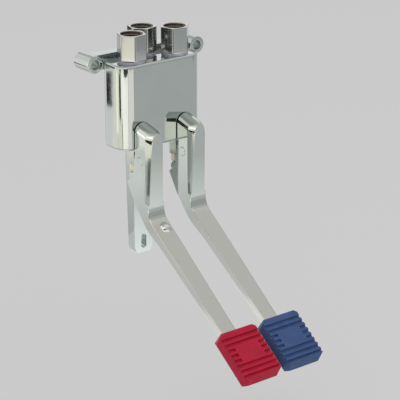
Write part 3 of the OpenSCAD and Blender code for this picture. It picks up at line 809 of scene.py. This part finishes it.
class VALVE_OT_studio(bpy.types.Operator):
    """Floor, backdrop, softboxes, cards and camera"""
    bl_idname = "valve.studio"
    bl_label = "Studio"

    def execute(self, context):
        context.scene.view_settings.view_transform = "Standard"
        self.backdrop(context)
        self.floor()
        self.softbox("overhead_softbox", at=(0.35, -0.25, 1.15), target=(0.0, -0.1, -0.1),
                     width=2.1, depth=1.8, brightness=studio().overhead)
        self.softbox("front_softbox", at=(-0.75, -1.1, 0.15), target=(0.0, -0.12, -0.15),
                     width=0.9, depth=0.8, brightness=studio().front)
        self.level_card("canopy", at=(0.85, -0.25, 1.1), width=1.7, tone=(0.79, 0.79, 0.78))
        self.level_card("side_card", at=(-0.145, 0.03, self.pool_level(lift=0.0008)), width=0.2,
                        tone=(0.79, 0.81, 0.84))
        self.pool("floor_pool", at=(0.05, -0.10, self.pool_level()), radius=0.34, peak=1.40)
        self.pool("rear_pool", at=(-0.28, 0.29, self.pool_level(lift=0.0004)), radius=0.24,
                  peak=0.92)
        for row in CARDS:
            self.card(*row)
        self.camera(context)
        return {"FINISHED"}

    def backdrop(self, context):
        """Even light from all sides, seen as the backdrop's plain tone."""
        world = bpy.data.worlds.new("studio")
        context.scene.world = world
        world.use_nodes = True
        tree = world.node_tree
        light = tree.nodes["Background"]
        light.inputs["Strength"].default_value = studio().fill
        light.inputs["Color"].default_value = (1.0, 1.0, 1.0, 1.0)
        seen = put(tree, "ShaderNodeBackground", 0, -150, Color=(*studio().backdrop, 1.0))
        mix = put(tree, "ShaderNodeMixShader", 250, 0)
        tree.links.new(self.seen_rays(tree), mix.inputs[0])
        tree.links.new(light.outputs[0], mix.inputs[1])
        tree.links.new(seen.outputs[0], mix.inputs[2])
        tree.links.new(mix.outputs[0], tree.nodes["World Output"].inputs["Surface"])

    def seen_rays(self, tree):
        """1 for the rays by which the backdrop is seen, directly or in metal and glass."""
        path = put(tree, "ShaderNodeLightPath", -700, 300)
        first = put(tree, "ShaderNodeMath", -450, 300, operation="ADD", use_clamp=True)
        both = put(tree, "ShaderNodeMath", -250, 300, operation="ADD", use_clamp=True)
        tree.links.new(path.outputs["Is Camera Ray"], first.inputs[0])
        tree.links.new(path.outputs["Is Glossy Ray"], first.inputs[1])
        tree.links.new(first.outputs[0], both.inputs[0])
        tree.links.new(path.outputs["Is Transmission Ray"], both.inputs[1])
        return both.outputs[0]

    def floor(self):
        """A pale floor near the backdrop's tone, which keeps the valve's shadow."""
        bpy.ops.object.select_all(action="DESELECT")
        level = CAD_BOX[0][2] - studio().floor_gap
        bpy.ops.mesh.primitive_plane_add(size=30.0, location=(0.0, 0.0, level))
        floor = bpy.context.object
        floor.name = "floor"
        material = bpy.data.materials.new("pale_floor")
        material.use_nodes = True
        tree = material.node_tree
        shader = tree.nodes["Principled BSDF"]
        shader.inputs["Base Color"].default_value = (*studio().floor, 1.0)
        shader.inputs["Roughness"].default_value = 0.9
        shader.inputs["Specular IOR Level"].default_value = 0.0
        seen = put(tree, "ShaderNodeEmission", -200, -300, Color=(*studio().backdrop, 1.0))
        part = put(tree, "ShaderNodeMath", -50, 300, operation="MULTIPLY")
        part.inputs[1].default_value = studio().floor_seen
        mix = put(tree, "ShaderNodeMixShader", 250, 0)
        tree.links.new(self.seen_rays(tree), part.inputs[0])
        tree.links.new(part.outputs[0], mix.inputs[0])
        tree.links.new(shader.outputs[0], mix.inputs[1])
        tree.links.new(seen.outputs[0], mix.inputs[2])
        tree.links.new(mix.outputs[0], tree.nodes["Material Output"].inputs["Surface"])
        floor.data.materials.append(material)

    def softbox(self, name, at, target, width, depth, brightness):
        """A lamp that lights the valve but isn't mirrored in it."""
        data = bpy.data.lights.new(name, "AREA")
        data.shape = "RECTANGLE"
        data.size, data.size_y = width, depth
        data.energy = brightness * width * depth * math.pi
        lamp = bpy.data.objects.new(name, data)
        bpy.context.scene.collection.objects.link(lamp)
        lamp.location = at
        lamp.rotation_euler = (Vector(target) - Vector(at)).to_track_quat("-Z", "Y").to_euler()
        lamp.visible_glossy = False

    def plane(self, name):
        """A plane one metre wide that only polished metal sees, its node tree and its glow."""
        bpy.ops.object.select_all(action="DESELECT")
        bpy.ops.mesh.primitive_plane_add(size=1.0)
        plane = bpy.context.object
        plane.name = name
        material = bpy.data.materials.new(name)
        material.use_nodes = True
        tree = material.node_tree
        tree.nodes.remove(tree.nodes["Principled BSDF"])
        glow = put(tree, "ShaderNodeEmission", 0, 0)
        tree.links.new(glow.outputs[0], tree.nodes["Material Output"].inputs["Surface"])
        plane.data.materials.append(material)
        plane.visible_camera = plane.visible_diffuse = False
        plane.visible_shadow = plane.visible_transmission = False
        return plane, tree, glow

    def level_card(self, name, at, width, tone):
        """A level card, overhead or on the floor."""
        card, _, glow = self.plane(name)
        card.location, card.scale = at, (width, width, 1.0)
        glow.inputs["Color"].default_value = (*tone, 1.0)

    def pool_level(self, lift=0.0):
        """The height of the pools of light, just under the pads."""
        return CAD_BOX[0][2] - studio().pool_gap + lift

    def pool(self, name, at, radius, peak):
        """A pool of light on the floor that fades into the backdrop's tone."""
        pool, tree, glow = self.plane(name)
        pool.location, pool.scale = at, (2 * radius, 2 * radius, 1.0)
        coords = put(tree, "ShaderNodeTexCoord", -800, 0)
        twice = put(tree, "ShaderNodeVectorMath", -600, 0, operation="SCALE")
        twice.inputs["Scale"].default_value = 2.0
        fade = put(tree, "ShaderNodeTexGradient", -400, 0, gradient_type="SPHERICAL")
        level = put(tree, "ShaderNodeMapRange", -200, 0, To_Min=studio().backdrop[0], To_Max=peak)
        tree.links.new(coords.outputs["Object"], twice.inputs[0])
        tree.links.new(twice.outputs[0], fade.inputs["Vector"])
        tree.links.new(fade.outputs["Fac"], level.inputs["Value"])
        tree.links.new(level.outputs["Result"], glow.inputs["Strength"])

    def card(self, name, azimuth, distance, width, low, high, tone, roll=0.0):
        """An upright card that faces the valve from the given azimuth."""
        bearing = math.radians(azimuth)
        upright = Euler((math.pi / 2, 0.0, bearing - math.pi / 2)).to_quaternion()
        card, _, glow = self.plane(name)
        card.scale = (width, high - low, 1.0)
        card.location = (distance * math.cos(bearing),
                         CARDS_MIDDLE_Y + distance * math.sin(bearing), (low + high) / 2)
        card.rotation_mode = "QUATERNION"
        card.rotation_quaternion = upright @ Quaternion((0.0, 0.0, 1.0), math.radians(roll))
        glow.inputs["Color"].default_value = (*(c / max(tone) for c in tone), 1.0)
        glow.inputs["Strength"].default_value = max(tone)

    def camera(self, context):
        setting = studio()
        level = math.cos(setting.elevation)
        back = Vector((math.sin(setting.azimuth) * level, -math.cos(setting.azimuth) * level,
                       math.sin(setting.elevation)))
        data = bpy.data.cameras.new("camera")
        data.sensor_width, data.lens = 36.0, setting.focal_length
        camera = bpy.data.objects.new("camera", data)
        context.scene.collection.objects.link(camera)
        camera.location = Vector(setting.aim) + setting.distance * back
        camera.rotation_euler = back.to_track_quat("Z", "Y").to_euler()
        context.scene.camera = camera


class VALVE_PT_panel(bpy.types.Panel):
    """Lists the steps that dress the valve"""
    bl_idname = "VALVE_PT_panel"
    bl_label = "Pedal valve"
    bl_space_type = "VIEW_3D"
    bl_region_type = "UI"
    bl_category = "Pedal valve"

    def draw(self, context):
        for step in STEPS:
            self.layout.operator(step.bl_idname)
        for group in (sizes(), finishes(), studio()):
            box = self.layout.box()
            for key in group.__annotations__:
                box.prop(group, key)


STEPS = (VALVE_OT_cast_body, VALVE_OT_unions, VALVE_OT_pedal_levers, VALVE_OT_tread_pads,
         VALVE_OT_cartridges, VALVE_OT_studio)
CLASSES = (ValveSizes, ValveFinishes, ValveStudio, *STEPS, VALVE_PT_panel)


def register():
    for cls in CLASSES:
        bpy.utils.register_class(cls)
    bpy.types.Scene.valve_sizes = bpy.props.PointerProperty(type=ValveSizes)
    bpy.types.Scene.valve_finishes = bpy.props.PointerProperty(type=ValveFinishes)
    bpy.types.Scene.valve_studio = bpy.props.PointerProperty(type=ValveStudio)


def unregister():
    del bpy.types.Scene.valve_sizes, bpy.types.Scene.valve_finishes, bpy.types.Scene.valve_studio
    for cls in reversed(CLASSES):
        bpy.utils.unregister_class(cls)


def main():
    register()
    bpy.ops.valve.cast_body()
    bpy.ops.valve.unions()
    bpy.ops.valve.pedal_levers()
    bpy.ops.valve.tread_pads()
    bpy.ops.valve.cartridges()
    bpy.ops.valve.studio()


if __name__ == "__main__":
    main()
